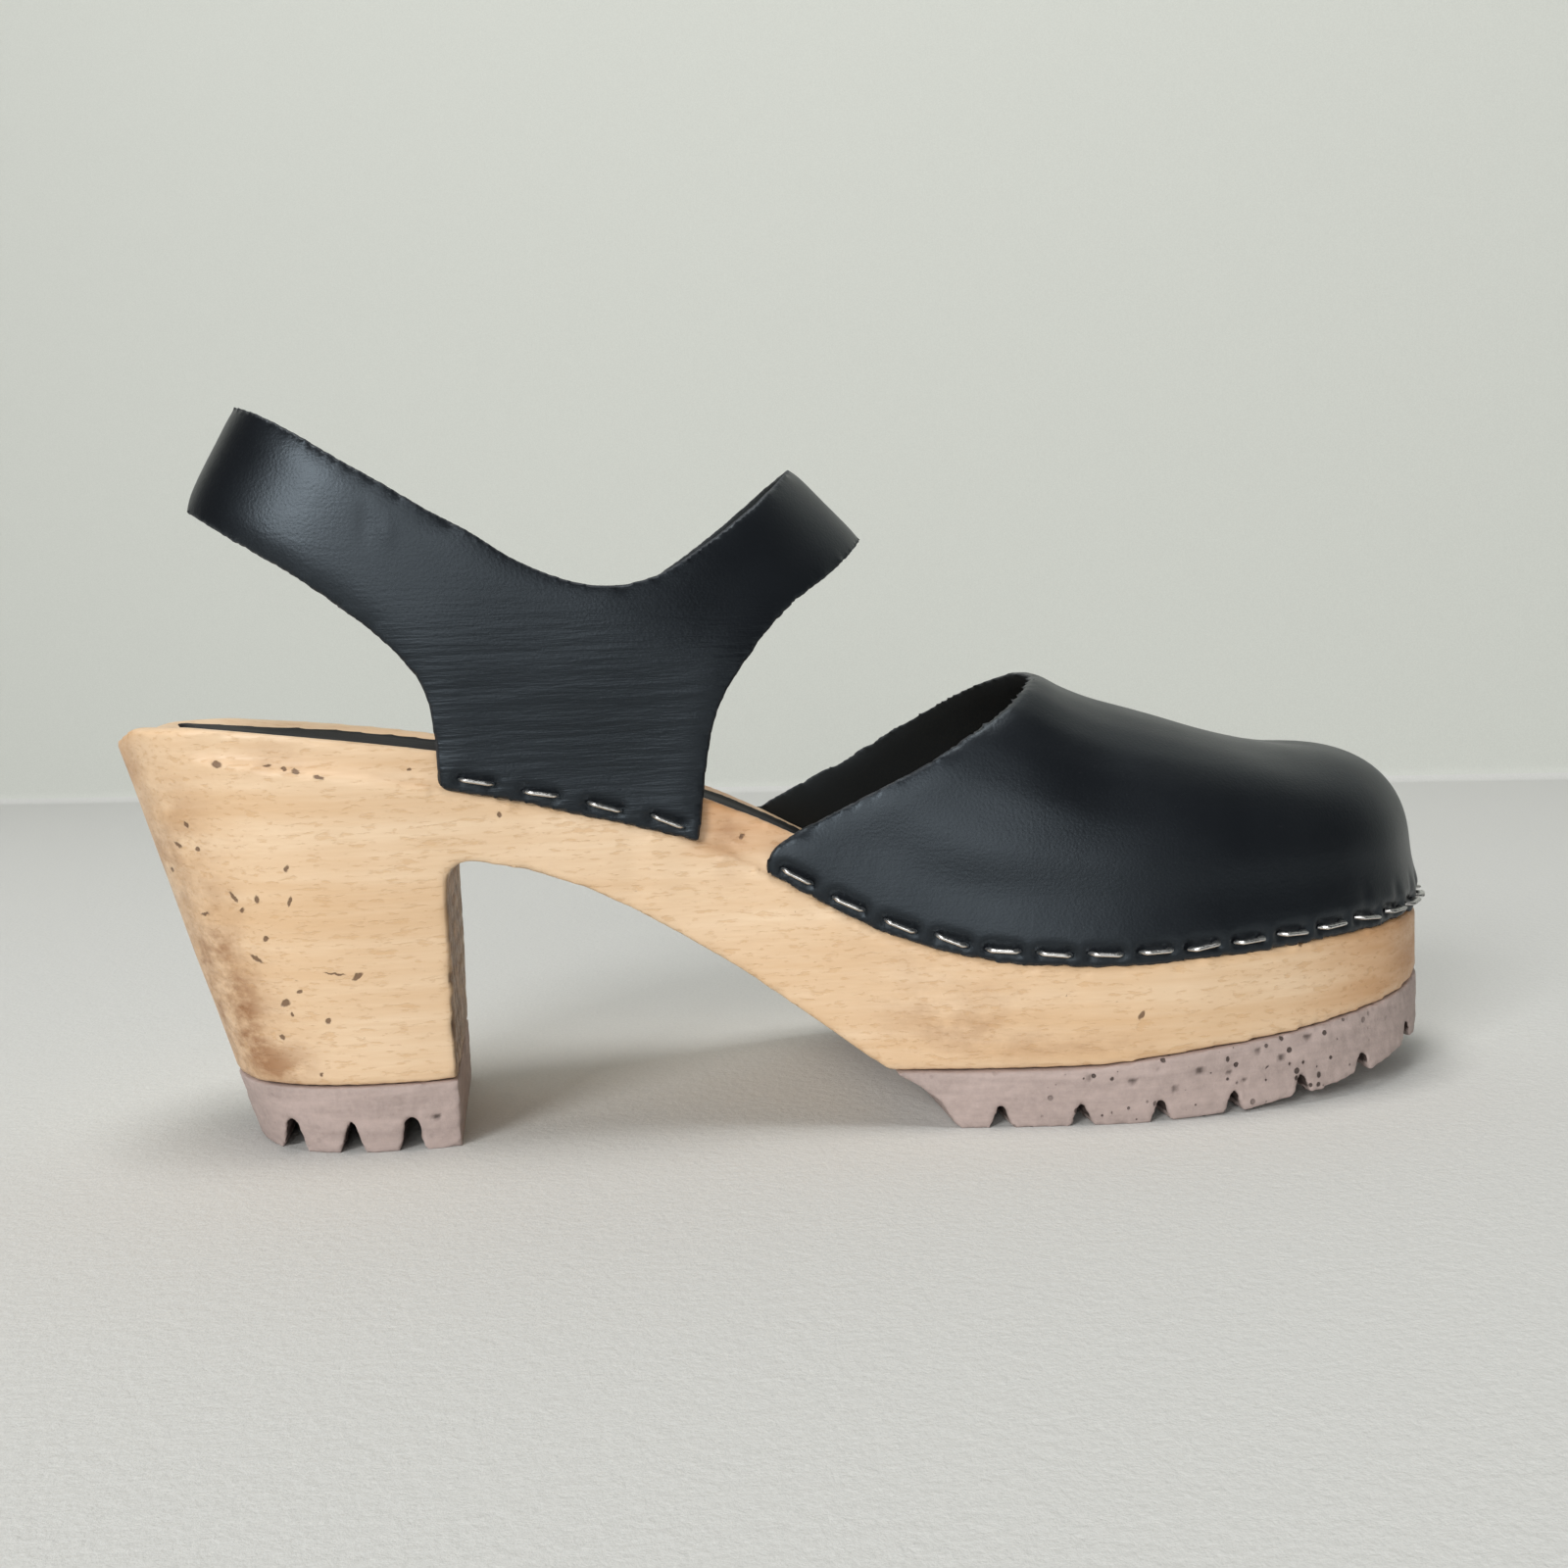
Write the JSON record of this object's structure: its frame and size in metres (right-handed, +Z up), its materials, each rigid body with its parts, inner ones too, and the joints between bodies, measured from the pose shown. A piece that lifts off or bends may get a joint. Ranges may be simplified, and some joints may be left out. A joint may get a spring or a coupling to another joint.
{
  "type": "heeled clog",
  "caption": "Closed-toe clog for the left foot: high-heeled wooden sole on lugged rubber, stapled leather vamp and a looped leather ankle strap.",
  "frame": {"origin": "below the middle of the shoe's bounding box, on the floor", "axes": "+X points to the toe, +Y to the outer side of the left foot, +Z up"},
  "size_m": [0.2606, 0.0974, 0.1387],
  "materials": {
    "sole_wood": "pale close-grained wood, lightly lacquered, with brown dirt stains on the heel",
    "upper_leather": "near-black smooth leather with a satin sheen",
    "outsole_rubber": "matt grey-brown rubber, pitted and scuffed",
    "staple_steel": "bright steel wire",
    "insole_leather": "matt black sock leather"
  },
  "bodies": {
    "root": {"ankle_strap": "upper_leather", "forefoot_outsole": "outsole_rubber", "heel_top_lift": "outsole_rubber", "insole": "insole_leather", "staple_strap_inner_1": "staple_steel", "staple_strap_inner_2": "staple_steel", "staple_strap_inner_3": "staple_steel", "staple_strap_inner_4": "staple_steel", "staple_strap_outer_1": "staple_steel", "staple_strap_outer_2": "staple_steel", "staple_strap_outer_3": "staple_steel", "staple_strap_outer_4": "staple_steel", "staple_vamp_01": "staple_steel", "staple_vamp_02": "staple_steel", "staple_vamp_03": "staple_steel", "staple_vamp_04": "staple_steel", "staple_vamp_05": "staple_steel", "staple_vamp_06": "staple_steel", "staple_vamp_07": "staple_steel", "staple_vamp_08": "staple_steel", "staple_vamp_09": "staple_steel", "staple_vamp_10": "staple_steel", "staple_vamp_11": "staple_steel", "staple_vamp_12": "staple_steel", "staple_vamp_13": "staple_steel", "staple_vamp_14": "staple_steel", "staple_vamp_15": "staple_steel", "staple_vamp_16": "staple_steel", "staple_vamp_17": "staple_steel", "staple_vamp_18": "staple_steel", "staple_vamp_19": "staple_steel", "staple_vamp_20": "staple_steel", "staple_vamp_21": "staple_steel", "staple_vamp_22": "staple_steel", "staple_vamp_23": "staple_steel", "staple_vamp_24": "staple_steel", "staple_vamp_25": "staple_steel", "staple_vamp_26": "staple_steel", "staple_vamp_27": "staple_steel", "staple_vamp_28": "staple_steel", "staple_vamp_29": "staple_steel", "staple_vamp_30": "staple_steel", "staple_vamp_31": "staple_steel", "staple_vamp_32": "staple_steel", "staple_vamp_33": "staple_steel", "staple_vamp_34": "staple_steel", "staple_vamp_35": "staple_steel", "vamp": "upper_leather", "wood_sole": "sole_wood"}
  },
  "joints": []
}
